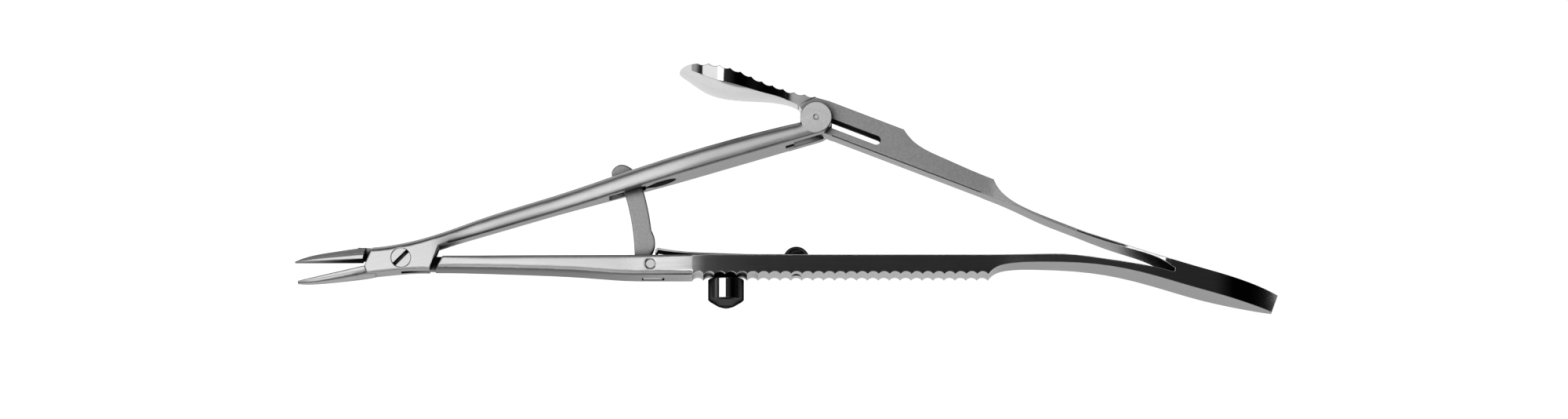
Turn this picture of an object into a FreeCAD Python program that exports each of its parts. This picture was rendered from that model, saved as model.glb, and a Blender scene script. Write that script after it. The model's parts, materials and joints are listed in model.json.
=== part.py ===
"""Surgical needle holder: two forged arms crossing in a box joint, a sprung thumb lever,
and a catch tongue that holds the jaws shut until the button under the handle is pressed.

Millimetres. X runs along the handle from the jaws to the tail, Y is the side of the thumb,
Z is across the arms. The origin is on the axis of the box joint, at the back face of the box.
Shapes are drawn about the middle plane of the instrument and moved to that frame at the end.
"""

import FreeCAD
import Part
import math
import os

# Box joint
BOX_THICK = 4.4
TENON_THICK = 1.6
TENON_RADIUS = 1.4
TENON_FRONT_TALL = 1.62
TENON_INTO_SHANK = 1.0
BOX_CLEAR = 0.06
BOX_LOW_ROUND = 0.35

# Joint screw
SCREW_HEAD_D = 2.65
SCREW_HEAD_DEEP = 0.6
SCREW_SHANK_D = 1.7
SCREW_SLOT_WIDE = 0.52
SCREW_SLOT_DEEP = 0.45
SCREW_SLOT_TURN = 45.0
SCREW_SKIN = 0.4
RUNNING_CLEAR = 0.03
SEAT_CLEAR = 0.01

# Jaws: x, full width and height at each station
OPEN_ANGLE = 10.0
FACE_ANGLE = 1.6
JAW_GAP = 0.03
JAW_SIDE_SHARE = 0.33
UPPER_JAW = [(-14.65, 0.9, 0.15), (-12.9, 1.6, 0.77), (-10.2, 2.4, 1.25), (-7.5, 3.2, 1.58),
             (-4.6, 3.9, 1.83)]
LOWER_JAW = [(-14.25, 0.9, 0.42), (-12.6, 1.6, 0.82), (-9.3, 2.6, 1.25), (-5.7, 3.7, 1.58),
             (-3.5, 4.1, 1.66)]
JAW_ROOT_X = -4.85
JAW_ROOT_SLANT = 0.55

# Lower shank and serrated handle
HANDLE_TOP = 0.33
SHANK_START_X = 4.75
SHANK_START_SLANT = 1.0
SHANK_START_TALL = 1.97
SHANK_NECK_WIDE = 4.0
HANDLE_WIDE = 5.5
SHANK_LOW_ROUND = 0.9
SHANK_TOP_ROUND = 0.25
SHANK_UNDER = [(17.0, -1.87), (25.0, -2.22), (33.0, -2.67)]
SHANK_PLAN = [(15.0, 2.3), (25.0, 2.5)]
TEETH_START = 40.15
TOOTH_PITCH = 1.51
TOOTH_COUNT = 27
TOOTH_DEEP = 0.4
HANDLE_TALL = 2.76

# Tail: x and height of points along its curves, x and half width of points in plan
TAIL_START_X = 90.0
TAIL_TOP = [(98.6, 2.08), (104.4, 0.0), (110.2, -1.78), (115.5, -3.2)]
TAIL_UNDER = [(82.1, -1.42), (83.9, -0.97), (88.0, -0.81), (94.8, -1.13), (98.4, -1.64), (102.7, -2.63),
              (109.4, -4.6), (115.5, -6.2)]
TAIL_FLARE = [(85.3, 3.05), (89.6, 3.42), (93.9, 3.8), (98.3, 4.2), (101.5, 4.45)]
TAIL_ROUND = [(112.5, 4.3), (116.5, 3.1), (119.5, 1.3)]
TAIL_WIDEST_X = 106.5
ABOVE_SPLIT = [(94.6, -0.06), (98.4, -0.67), (103.5, -1.62)]
UNDER_LEAF = [(104.3, -0.37), (102.2, 0.5), (98.3, 1.68)]
TAIL_WIDE = 9.2
TAIL_END_X = 120.9
TAIL_END_Y = -4.95
TAIL_END_TALL = 2.45
TAIL_END_SLANT = 0.9
SPLIT_END_X = 106.3
SPLIT_END_Y = -2.02
SPLIT_RADIUS = 0.35

# Leaf between lever and tail. LEAF_PLAN has shares of the way from where it widens to its bend
LEAF_THICK = 0.36
LEAF_FALL = 21.5
FLEX_X = 92.9
FLEX_Y = 3.86
FLEX_WIDE = 5.3
FLEX_GAP = 0.03
LEAF_PLAN = [(0.2101, 2.35), (0.4538, 2.6)]
LEAF_ROOT_PLAN = [(99.4, 3.2), (103.0, 3.85)]
LEAF_WIDE_FROM = 81.0
GAP_MIDDLE = [(85.0, 1.83), (98.0, 0.5)]

# Upper shank
SHANK_RISE = 16.44
SHANK_OFFSET = 0.153
SHANK_NOTCH = 5.49
BOX_FRONT = [(-5.03, -1.06), (-3.9, 1.5)]
BOX_TOP = [(-0.87, 1.9), (4.22, 3.13)]
BOX_UNDER = [(3.9, -1.6), (0.22, -1.72), (-2.09, -1.95), (-4.6, -2.2)]
UPPER_TOP = [(10.5, 2.0), (22.5, 2.3), (34.5, 2.55), (44.6, 2.64)]
UPPER_PLAN = [(19.0, 1.76), (26.0, 2.31), (31.0, 3.11), (36.0, 3.75)]
UPPER_WIDE_FROM = 42.0
NECK_FROM = 10.0
UPPER_NECK_WIDE = 3.52
UPPER_NECK_EASE = 0.16
UPPER_WIDE = 8.1
UPPER_ROUND = 0.7
UPPER_LOW_BEVEL = 0.25
BEVEL_START = 6.5
BEVEL_END = 53.5
KNUCKLE_AT = 60.37
KNUCKLE_R = 2.2
CLEVIS_CLEAR = 0.12
CLEVIS_CUTTER_R = 6.0
CLEVIS_RUN_OUT = 0.05
CLEVIS_CUTTER_BACK = 3.04

# Thumb lever
LEVER_FALL = 21.15
PLATE_THICK = 4.1
PLATE_BELOW_PIN = 1.38
PLATE_ABOVE_PIN = 3.05
PLATE_LONG = 11.82
PLATE_BEVEL = 0.2
PLATE_BEVEL_SHORT = 1.0
PLATE_CORNER = 0.8
NECK_CURVE = [(14.17, 1.8), (18.3, 1.3)]
LEAF_TOP = [(27.2, -0.1), (30.5, -1.14)]
LEAF_UNDER_FROM = 28.0
LEAF_BEND_LONG = 4.7
NECK_RISE = 1.01
NECK_LONG = 25.87
LEVER_PIN_D = 0.6
LEVER_SLOT_WIDE = 1.3
LEVER_SLOT_LONG = 8.77
LEVER_SLOT_RAISE = 0.29

# Thumb spoon
SPOON_TIP_X = 38.35
SPOON_START_X = 40.73
SPOON_START_Y = 25.75
SPOON_FALL = 11.35
SPOON_PITCH = 1.52
SPOON_TEETH = 11
SPOON_TOOTH_DEEP = 0.25
SPOON_WIDE = 12.6
SPOON_DISH_R = 19.2
SPOON_TIP_THICK = 0.24
SPOON_ROOT_STEP = 0.12
SPOON_EDGE_BACK = 1.7
SPOON_TURN_SHARE = 0.55
SPOON_UNDER = [(-1.2, -0.62), (2.0, -1.85), (5.0, -2.0), (8.5, -1.58), (11.9, -1.25), (14.6, -1.62)]
SPOON_PLAN = [(38.7, 2.4), (39.7, 4.5), (41.5, 5.9), (44.0, 6.3), (47.0, 5.6), (50.2, 3.7), (53.0, 2.4)]

# Catch tongue
TONGUE_OUTER_R = 34.75
TONGUE_WIDE = 2.55
TONGUE_THICK = 1.6
TONGUE_PIN_IN = 0.35
TONGUE_PIN_Y = -0.95
TONGUE_FOOT = (-1.35, 1.25)
TONGUE_HEEL_FOOT = (-0.33, 0.6)
TONGUE_HEAD = [(-3.05, 12.72), (-4.65, 13.2), (-5.65, 12.4)]
TONGUE_LEAN = 0.42
TONGUE_FOOT_GAP = 0.08
TONGUE_FOOT_Y = 0.85
TONGUE_TOP_Y = (11.3, 11.0)
HEEL_Y = 1.7
HEEL_END_Y = 4.0
TONGUE_PIN_D = 1.2
TONGUE_SLOT_CLEAR = 0.1
TONGUE_SLOT_FRONT = 0.45
TONGUE_SLOT_ROOM = 0.55
TONGUE_SLOT_TOP = 0.5
TONGUE_SLOT_BELOW = 1.0
HEEL_BULGE = 0.2

# Catch blade and the slot of the upper shank
SLOT_FRONT = 4.8
SLOT_BEHIND = 0.45
SLOT_WIDE = 3.4
BLADE_CLEAR = 0.05
BLADE_TIP_RISE = 0.44
BLADE_TALL = 1.3
BLADE_WIDE = 3.6
BLADE_POINT = 1.9
BLADE_LONG = 4.75
BLADE_PIN_BACK = 2.9
BLADE_PIN_D = 0.8
BLADE_PIN_COVER = 0.8

# Release leaf spring and its screw
SPRING_THICK = 0.25
SPRING_WIDE = 3.2
SPRING_END_X = 56.0
SPRING_FLAT_X = 49.1
SPRING_TIP_GAP = 0.1
SPRING_TIP_RISE = 1.15
SPRING_TIP_DROP = 0.75
SPRING_TIP_CORNER = (0.35, 0.3)
SPRING_TIP_INNER = (0.15, 0.08)
SPRING_BEND = [(0.43, 0.19), (0.81, 0.56)]
SPRING_LIFT_AT_BUTTON = 0.11
SPRING_SCREW_X = 54.5
SPRING_SCREW_D = 1.3
SPRING_SCREW_LONG = 2.2
SPRING_HOLE_CLEAR = 0.1
DOME_D = 3.44
DOME_TALL = 1.2
SCREW_INTO_DOME = 0.2

# Release button. BUTTON_FACE has shares of its radius and of the dome's height
BUTTON_X = 44.8
BUTTON_D = 4.95
BUTTON_GAP = 0.3
BUTTON_LONG = 2.85
BUTTON_DOME = 1.15
BUTTON_EDGE = 0.25
BUTTON_FACE = [(0.45, 0.8), (0.15, 1.0)]
STEM_D = 1.8
STEM_CLEAR = 0.05
STUB_D = 0.9
STUB_CLEAR = 0.1
STEM_SHORT = 0.1
WELL_D = 3.3
WELL_DEEP = 0.6

# How far cutters run past what they cut
PAST = 2.0
FAR = 12.0

# Worked out from the sizes above
SHANK_SIN = math.sin(math.radians(SHANK_RISE))
SHANK_COS = math.cos(math.radians(SHANK_RISE))
LEVER_SIN = math.sin(math.radians(LEVER_FALL))
LEVER_COS = math.cos(math.radians(LEVER_FALL))
LEAF_SIN = math.sin(math.radians(LEAF_FALL))
LEAF_COS = math.cos(math.radians(LEAF_FALL))
SPOON_SIN = math.sin(math.radians(SPOON_FALL))
SPOON_COS = math.cos(math.radians(SPOON_FALL))
HALF_BOX = BOX_THICK / 2
HALF_TENON = TENON_THICK / 2
HALF_WINDOW = HALF_TENON + BOX_CLEAR
HALF_TONGUE = TONGUE_THICK / 2
TONGUE_INNER_R = TONGUE_OUTER_R - TONGUE_WIDE
TONGUE_PIN_X = TONGUE_OUTER_R - TONGUE_PIN_IN
TOOTH_TIP = HANDLE_TOP - HANDLE_TALL
SHANK_LOW = SHANK_UNDER[-1][1]
TEETH_END = TEETH_START + TOOTH_PITCH * TOOTH_COUNT
SHANK_TOP_X = SHANK_START_X + SHANK_START_SLANT
WIDE = 40.0
ALONG = FreeCAD.Vector(1, 0, 0)


def point(x, y, z=0.0):
    return FreeCAD.Vector(x, y, z)


def points(stations):
    """Points from a list of (x, y) pairs."""
    return [point(x, y) for x, y in stations]


def on_shank(along, above):
    """A point given along the underside of the upper shank and square above it."""
    above = above + SHANK_OFFSET
    return point(along * SHANK_COS - above * SHANK_SIN, along * SHANK_SIN + above * SHANK_COS)


KNUCKLE = on_shank(KNUCKLE_AT, KNUCKLE_R)


def on_lever(along, above):
    """A point given from the lever pin, along the plate towards the tail and square above it."""
    x = KNUCKLE.x + along * LEVER_COS + above * LEVER_SIN
    return point(x, KNUCKLE.y - along * LEVER_SIN + above * LEVER_COS)


def on_leaf(along, above):
    """A point given from the place where the leaf bends, along it and square above it."""
    x = FLEX_X + along * LEAF_COS + above * LEAF_SIN
    return point(x, FLEX_Y - along * LEAF_SIN + above * LEAF_COS)


def on_spoon(along, above):
    """A point given from the first cusp of the spoon, along the cusps and square above them."""
    x = SPOON_START_X + along * SPOON_COS + above * SPOON_SIN
    return point(x, SPOON_START_Y - along * SPOON_SIN + above * SPOON_COS)


def about_joint(radius, y):
    """The point at height y on a circle about the joint axis."""
    return point(math.sqrt(radius * radius - y * y), y)


def line(start, end):
    return Part.LineSegment(start, end).toShape()


def arc(start, middle, end):
    return Part.Arc(start, middle, end).toShape()


def curve(points, leave=None, arrive=None):
    """A smooth curve through a few points, with a direction at either end where one is given."""
    inner = len(points) - 2
    directions = [leave or ALONG] + [ALONG] * inner + [arrive or ALONG]
    given = [leave is not None] + [False] * inner + [arrive is not None]
    spline = Part.BSplineCurve()
    spline.interpolate(Points=points, Tangents=directions, TangentFlags=given)
    return spline.toShape()


def chain(points):
    """Straight edges through a list of points."""
    return [line(a, b) for a, b in zip(points, points[1:])]


def slab(edges, half):
    """A closed outline in XY given thickness about the middle plane."""
    face = Part.Face(Part.Wire(Part.__sortEdges__(edges)))
    face.translate(point(0, 0, -half))
    return face.extrude(point(0, 0, 2 * half))


def block(points, half):
    """A straight-sided outline in XY given thickness about the middle plane."""
    return slab(chain(points + points[:1]), half)


def plan(runs):
    """A block with an outline in XZ, alike on both sides. Each run lists (x, half width) stations:
    two make a straight side, and more a curve that starts and ends along X."""
    edges = []
    for side in (1, -1):
        for run in runs:
            places = [point(x, -WIDE, side * half) for x, half in run]
            if len(places) == 2:
                edges.append(line(places[0], places[1]))
            else:
                closes = run[-1][1] == 0
                edges.append(curve(places, ALONG, None if closes else ALONG))
    for x, half in (runs[0][0], runs[-1][-1]):
        if half > 0:
            edges.append(line(point(x, -WIDE, half), point(x, -WIDE, -half)))
    face = Part.Face(Part.Wire(Part.__sortEdges__(edges)))
    return face.extrude(point(0, 2 * WIDE, 0))


def post(radius, low, high, place):
    """A round bar along Z."""
    return Part.makeCylinder(radius, high - low, point(place.x, place.y, low), point(0, 0, 1))


def upright(radius, low, high, x):
    """A round bar along Y, on the middle plane."""
    return Part.makeCylinder(radius, high - low, point(x, low, 0), point(0, 1, 0))


def middle_of(edge):
    return edge.valueAt((edge.FirstParameter + edge.LastParameter) / 2)


def is_like(edge, others):
    """Whether an edge lies where one of the others does."""
    return any(middle_of(edge).distanceToPoint(middle_of(other)) < 0.01 for other in others)


def scallops(start, end, count, deep):
    """Hollow grooves with sharp cusps along a straight line, cut to the left of its direction."""
    step = (end - start) * (1.0 / count)
    across = point(-step.y, step.x)
    across.normalize()
    edges = []
    for number in range(count):
        first = start + step * number
        hollow = first + step * 0.5 + across * deep
        edges.append(arc(first, hollow, first + step))
    return edges


# Jaws

def jaw(stations, face_angle, side):
    """A tapered jaw with a flat grasping face on a plane through the joint axis, short sides
    and a round back. Side is +1 for the upper jaw and -1 for the lower one."""
    slope = math.tan(math.radians(face_angle))
    sections = []
    for x, wide, tall in stations:
        face_y = x * slope + side * JAW_GAP
        side_y = face_y + side * tall * JAW_SIDE_SHARE
        corners = [point(x, side_y, -wide / 2), point(x, face_y, -wide / 2),
                   point(x, face_y, wide / 2), point(x, side_y, wide / 2)]
        back = arc(corners[3], point(x, face_y + side * tall, 0), corners[0])
        sections.append(Part.Wire(chain(corners) + [back]))
    return Part.makeLoft(sections, True, False)


def upper_jaw():
    """The upper jaw, ending in a slanted shoulder in front of the box."""
    body = jaw(UPPER_JAW, FACE_ANGLE, 1)
    shoulder = [point(JAW_ROOT_X, 3), point(JAW_ROOT_X, UPPER_JAW[-1][2]),
                point(JAW_ROOT_X - JAW_ROOT_SLANT, -1), point(0, -1), point(0, 3)]
    return body.cut(block(shoulder, HALF_BOX))


# Handle arm

def tenon():
    """The thin middle of the handle arm, which runs through the window of the box."""
    left = JAW_ROOT_X - 2 * JAW_ROOT_SLANT
    right = SHANK_TOP_X + TENON_INTO_SHANK
    left_low = left * math.tan(math.radians(FACE_ANGLE)) + JAW_GAP
    right_low = HANDLE_TOP - SHANK_START_TALL
    front = [point(0, JAW_GAP), point(0, TENON_RADIUS), point(BOX_FRONT[1][0], BOX_FRONT[1][1]),
             point(left, TENON_FRONT_TALL), point(left, left_low)]
    rear = [point(0, HANDLE_TOP), point(0, -TENON_RADIUS), point(right, right_low),
            point(right, HANDLE_TOP)]
    body = post(TENON_RADIUS, -HALF_TENON, HALF_TENON, point(0, 0))
    return body.fuse([block(front, HALF_TENON), block(rear, HALF_TENON)])


def handle_outline():
    """The side view of the lower shank, handle, tail and root of the leaf."""
    half = LEAF_THICK / 2
    start_top = point(SHANK_TOP_X, HANDLE_TOP)
    start_low = point(SHANK_START_X, HANDLE_TOP - SHANK_START_TALL)
    flat_end = point(TAIL_START_X, HANDLE_TOP)
    split_top = point(SPLIT_END_X, SPLIT_END_Y + SPLIT_RADIUS)
    split_low = point(SPLIT_END_X, SPLIT_END_Y - SPLIT_RADIUS)
    split_end = point(SPLIT_END_X + SPLIT_RADIUS, SPLIT_END_Y)
    tail_top = point(TAIL_END_X, TAIL_END_Y)
    tail_low = point(TAIL_END_X - TAIL_END_SLANT, TAIL_END_Y - TAIL_END_TALL)
    leaf_high = on_leaf(half + FLEX_GAP, half)
    leaf_low = on_leaf(half + FLEX_GAP, -half)
    fall = point(LEAF_COS, -LEAF_SIN)
    above_split = [flat_end] + points(ABOVE_SPLIT) + [split_low]
    top = [leaf_high] + points(TAIL_TOP) + [tail_top]
    under_leaf = [split_top] + points(UNDER_LEAF) + [leaf_low]
    shank_low = [start_low] + points(SHANK_UNDER)
    shank_end = point(TEETH_START, SHANK_LOW)
    teeth_first = point(TEETH_START, TOOTH_TIP)
    teeth_last = point(TEETH_END, TOOTH_TIP)
    waist = [teeth_last] + points(TAIL_UNDER) + [tail_low]
    edges = [line(start_top, flat_end), curve(above_split, ALONG, None)]
    edges += [arc(split_low, split_end, split_top), curve(under_leaf, None, fall * -1)]
    edges += [line(leaf_low, leaf_high), curve(top, fall, None), line(tail_top, tail_low)]
    edges += [curve(waist)] + scallops(teeth_first, teeth_last, TOOTH_COUNT, TOOTH_DEEP)
    edges += [line(teeth_first, shank_end), line(shank_end, shank_low[-1])]
    edges += [curve(shank_low, None, ALONG), line(start_low, start_top)]
    return edges


def handle_plan():
    neck = SHANK_NECK_WIDE / 2
    half = HANDLE_WIDE / 2
    tail = TAIL_WIDE / 2
    widening = [(SHANK_TOP_X, neck)] + SHANK_PLAN + [(TEETH_START, half)]
    flaring = [(TEETH_END, half)] + TAIL_FLARE + [(TAIL_WIDEST_X, tail)]
    closing = [(TAIL_WIDEST_X, tail)] + TAIL_ROUND + [(TAIL_END_X, 0)]
    return plan([[(0, neck), (SHANK_TOP_X, neck)], widening, [(TEETH_START, half), (TEETH_END, half)],
                 flaring, closing])


def leaf_plan(start):
    """The plate and the leaf in plan: straight from start on, then wider towards the tail."""
    plate = PLATE_THICK / 2
    reach = FLEX_X - LEAF_WIDE_FROM
    before_bend = [(LEAF_WIDE_FROM + share * reach, half) for share, half in LEAF_PLAN]
    widening = [(LEAF_WIDE_FROM, plate)] + before_bend + [(FLEX_X, FLEX_WIDE / 2)] + LEAF_ROOT_PLAN
    widening.append((SPLIT_END_X, TAIL_WIDE / 2))
    return plan([[(start, plate), (LEAF_WIDE_FROM, plate)], widening])


def tongue_slot():
    """The slot for the tongue through the lower shank, leaning like the foot of the tongue."""
    low = SHANK_LOW - TONGUE_SLOT_BELOW
    left = TONGUE_INNER_R - TONGUE_SLOT_FRONT
    right = left + TONGUE_WIDE + TONGUE_SLOT_ROOM
    top = HANDLE_TOP + TONGUE_SLOT_TOP
    drop = (top - low) * TONGUE_LEAN
    corners = [point(left, top), point(left + drop, low), point(right + drop, low), point(right, top)]
    return block(corners, HALF_TONGUE + TONGUE_SLOT_CLEAR)


def handle_body():
    """Shank, handle, tail and root of the leaf, before its holes."""
    body = slab(handle_outline(), WIDE / 2).common(handle_plan())
    above_gap = points(GAP_MIDDLE) + [point(SPLIT_END_X, SPLIT_END_Y), point(SPLIT_END_X, WIDE),
                                      point(GAP_MIDDLE[0][0], WIDE)]
    beside_leaf = block(above_gap, WIDE / 2).cut(leaf_plan(SHANK_TOP_X))
    shank_side = Part.makeBox(TEETH_START, WIDE, WIDE, point(0, -WIDE / 2, -WIDE / 2))
    shank = body.common(shank_side)
    low_edges = []
    top_edges = []
    for edge in shank.Edges:
        place = middle_of(edge)
        if abs(place.z) > 0.9 * SHANK_NECK_WIDE / 2 and SHANK_TOP_X < place.x < TEETH_START - 0.1:
            if place.y < HANDLE_TOP - 0.8 * SHANK_START_TALL:
                low_edges.append(edge)
            elif abs(place.y - HANDLE_TOP) < 0.01:
                top_edges.append(edge)
    shank = shank.makeFillet(SHANK_LOW_ROUND, low_edges)
    top_edges = [edge for edge in shank.Edges if is_like(edge, top_edges)]
    shank = shank.makeFillet(SHANK_TOP_ROUND, top_edges)
    return body.cut(shank_side).cut(beside_leaf).fuse(shank)


def handle_arm():
    body = handle_body()
    solid = body.fuse([tenon(), upper_jaw()])
    solid = solid.cut(post(SCREW_SHANK_D / 2 + RUNNING_CLEAR, -HALF_BOX, HALF_BOX, point(0, 0)))
    solid = solid.cut(tongue_slot())
    solid = solid.cut(post(TONGUE_PIN_D / 2 + SEAT_CLEAR, -WIDE, WIDE, point(TONGUE_PIN_X, TONGUE_PIN_Y)))
    low = TOOTH_TIP - PAST
    bores = [upright(SPRING_SCREW_D / 2 + SEAT_CLEAR, low, PAST, SPRING_SCREW_X),
             upright(STEM_D / 2 + STEM_CLEAR, low, PAST, BUTTON_X),
             upright(WELL_D / 2, low, TOOTH_TIP + WELL_DEEP, BUTTON_X)]
    return solid.cut(bores)


def tongue_pin():
    """Flush pin across the lower shank."""
    return post(TONGUE_PIN_D / 2, -WIDE, WIDE, point(TONGUE_PIN_X, TONGUE_PIN_Y)).common(handle_body())


# Jaw arm

def jaw_arm_outline():
    """The side view of the box, the upper shank and its round knuckle."""
    left_low, left_top = points(BOX_FRONT)
    notch = on_shank(SHANK_NOTCH, 0)
    knuckle_left = on_shank(KNUCKLE_AT - KNUCKLE_R, KNUCKLE_R)
    knuckle_low = on_shank(KNUCKLE_AT, 0)
    knuckle_far = on_shank(KNUCKLE_AT + KNUCKLE_R * 0.8, KNUCKLE_R * 1.6)
    upper = [on_shank(along, above) for along, above in UPPER_TOP]
    top = [left_top] + points(BOX_TOP) + upper + [knuckle_left]
    bottom = points(BOX_UNDER)
    return [line(left_low, left_top), curve(top), arc(knuckle_left, knuckle_far, knuckle_low),
            line(knuckle_low, notch), line(notch, bottom[0]), curve(bottom), line(bottom[-1], left_low)]


def jaw_arm_plan():
    neck = UPPER_NECK_WIDE / 2
    half = UPPER_WIDE / 2
    box_end = BOX_TOP[-1][0]
    narrowing = [(box_end, HALF_BOX), ((box_end + NECK_FROM) / 2, neck + UPPER_NECK_EASE), (NECK_FROM, neck)]
    widening = UPPER_PLAN + [(UPPER_WIDE_FROM, half)]
    return plan([[(-WIDE, HALF_BOX), (box_end, HALF_BOX)], narrowing,
                 [(NECK_FROM, neck), UPPER_PLAN[0]], widening,
                 [(UPPER_WIDE_FROM, half), (UPPER_WIDE_FROM + WIDE, half)]])


def above_underside(edge):
    """How far the middle of an edge lies above the underside of the upper shank."""
    place = middle_of(edge)
    return place.y - (place.x * SHANK_SIN + SHANK_OFFSET) / SHANK_COS


def jaw_arm_block():
    """Box and upper shank before the window, the slot and the fork are cut."""
    body = slab(jaw_arm_outline(), WIDE / 2).common(jaw_arm_plan())
    side_edges = []
    for edge in body.Edges:
        if abs(middle_of(edge).z) > 1 and abs(edge.tangentAt(edge.FirstParameter).z) < 0.9:
            side_edges.append(edge)
    high = [edge for edge in side_edges if -3.6 < middle_of(edge).x < 50 and above_underside(edge) > 1]
    low = [edge for edge in side_edges if abs(middle_of(edge).x) < 1 and middle_of(edge).y < 0]
    body = body.makeFillet(UPPER_ROUND, high)
    low = [edge for edge in body.Edges if is_like(edge, low)]
    body = body.makeFillet(BOX_LOW_ROUND, low)
    run = Part.makeBox(BEVEL_END - BEVEL_START, WIDE, WIDE, point(BEVEL_START, -WIDE / 4, -WIDE / 2))
    shank = body.common(run)
    under = []
    for edge in shank.Edges:
        if abs(middle_of(edge).z) > 1 and abs(above_underside(edge)) < 0.05:
            under.append(edge)
    return body.cut(run).fuse(shank.makeChamfer(UPPER_LOW_BEVEL, under))


def fork_gap():
    """The room for the lever in the knuckle, run out by a round cutter towards the shank."""
    start = KNUCKLE_AT - CLEVIS_CUTTER_BACK
    half = PLATE_THICK / 2 + CLEVIS_CLEAR
    middle = on_shank(start, CLEVIS_CUTTER_R - CLEVIS_RUN_OUT)
    corners = [on_shank(start, -PAST), on_shank(start, FAR), on_shank(start + FAR, FAR),
               on_shank(start + FAR, -PAST)]
    return block(corners, half).fuse(post(CLEVIS_CUTTER_R, -half, half, middle))


def window():
    """The opening in the box for the tenon, wide enough for it to turn by the opening angle."""
    slope = math.tan(math.radians(FACE_ANGLE + OPEN_ANGLE))
    rise = math.tan(math.radians(OPEN_ANGLE))
    above = [point(0, -JAW_GAP), point(0, FAR), point(-FAR, FAR), point(-FAR, -FAR * slope - JAW_GAP)]
    top = HANDLE_TOP + 2 * BOX_CLEAR
    end = SHANK_NOTCH + PAST
    below = [point(0, top), point(0, -FAR), point(end, -FAR), point(end, top + end * rise)]
    ring = post(TENON_RADIUS + BOX_CLEAR, -HALF_WINDOW, HALF_WINDOW, point(0, 0))
    return ring.fuse([block(above, HALF_WINDOW), block(below, HALF_WINDOW)])


def tongue_way():
    """The slot for the tongue through the upper shank."""
    end = TONGUE_OUTER_R + SLOT_BEHIND
    start = TONGUE_OUTER_R - SLOT_FRONT
    corners = [on_shank(start, -PAST), on_shank(start, FAR), on_shank(end, FAR), on_shank(end, -PAST)]
    return block(corners, SLOT_WIDE / 2)


def blade_room(low, clear):
    """A bar with a point at the tongue and a round end, set into the underside of the shank."""
    half = BLADE_WIDE / 2 + clear
    tip = TONGUE_OUTER_R + BLADE_CLEAR
    end = tip + BLADE_LONG + clear
    places = [(tip, 0), (tip + BLADE_POINT, half), (end - half, half), (end, 0), (end - half, -half),
              (tip + BLADE_POINT, -half)]
    corners = []
    for along, side in places:
        foot = on_shank(along, low)
        corners.append(point(foot.x, foot.y, side))
    edges = [line(corners[0], corners[1]), line(corners[1], corners[2]),
             arc(corners[2], corners[3], corners[4]), line(corners[4], corners[5]),
             line(corners[5], corners[0])]
    up = point(-SHANK_SIN, SHANK_COS) * (BLADE_TALL + clear - low)
    return Part.Face(Part.Wire(edges)).extrude(up)


def screw_room(clear):
    """The joint screw's outer form, larger all round by a clearance."""
    head = post(SCREW_HEAD_D / 2 + clear, HALF_BOX - SCREW_HEAD_DEEP - clear, HALF_BOX, point(0, 0))
    shank = post(SCREW_SHANK_D / 2 + clear, SCREW_SKIN - clear - HALF_BOX, HALF_BOX, point(0, 0))
    return head.fuse(shank)


def blade_pin_place():
    return on_shank(TONGUE_OUTER_R + BLADE_CLEAR + BLADE_PIN_BACK, BLADE_TALL / 2)


def blade_pin_room(clear):
    """The blade's pin goes in from the back and stops inside the front cheek."""
    return post(BLADE_PIN_D / 2 + clear, -WIDE, BLADE_WIDE / 2 + BLADE_PIN_COVER + clear, blade_pin_place())


def jaw_arm():
    solid = jaw_arm_block().fuse(jaw(LOWER_JAW, FACE_ANGLE + OPEN_ANGLE, -1))
    cuts = [window(), screw_room(SEAT_CLEAR), fork_gap(), tongue_way(), blade_room(-PAST, SEAT_CLEAR),
            blade_pin_room(SEAT_CLEAR),
            post(LEVER_PIN_D / 2 + SEAT_CLEAR, -WIDE, WIDE, KNUCKLE)]
    for piece in cuts:
        solid = solid.cut(piece)
    return solid


def joint_screw():
    """Flush screw with a slot across its head."""
    slot = Part.makeBox(2 * SCREW_HEAD_D, SCREW_SLOT_WIDE, SCREW_SLOT_DEEP,
                        point(-SCREW_HEAD_D, -SCREW_SLOT_WIDE / 2, HALF_BOX - SCREW_SLOT_DEEP))
    slot.rotate(point(0, 0), point(0, 0, 1), SCREW_SLOT_TURN)
    return screw_room(0).cut(slot)


def lever_pin():
    """Flush pin across the fork of the knuckle."""
    return post(LEVER_PIN_D / 2, -UPPER_WIDE / 2, UPPER_WIDE / 2, KNUCKLE)


def catch_blade():
    """Pointed bar let into the underside of the shank, its point rising to meet the tongue."""
    tip = TONGUE_OUTER_R + BLADE_CLEAR
    under_tip = [on_shank(tip, -PAST), on_shank(tip, BLADE_TIP_RISE), on_shank(tip + BLADE_POINT, 0),
                 on_shank(tip + BLADE_POINT, -PAST)]
    return blade_room(0, 0).cut([block(under_tip, BLADE_WIDE), blade_pin_room(SEAT_CLEAR)])


def blade_pin():
    return blade_pin_room(0).common(jaw_arm_block())


# Thumb lever

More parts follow.
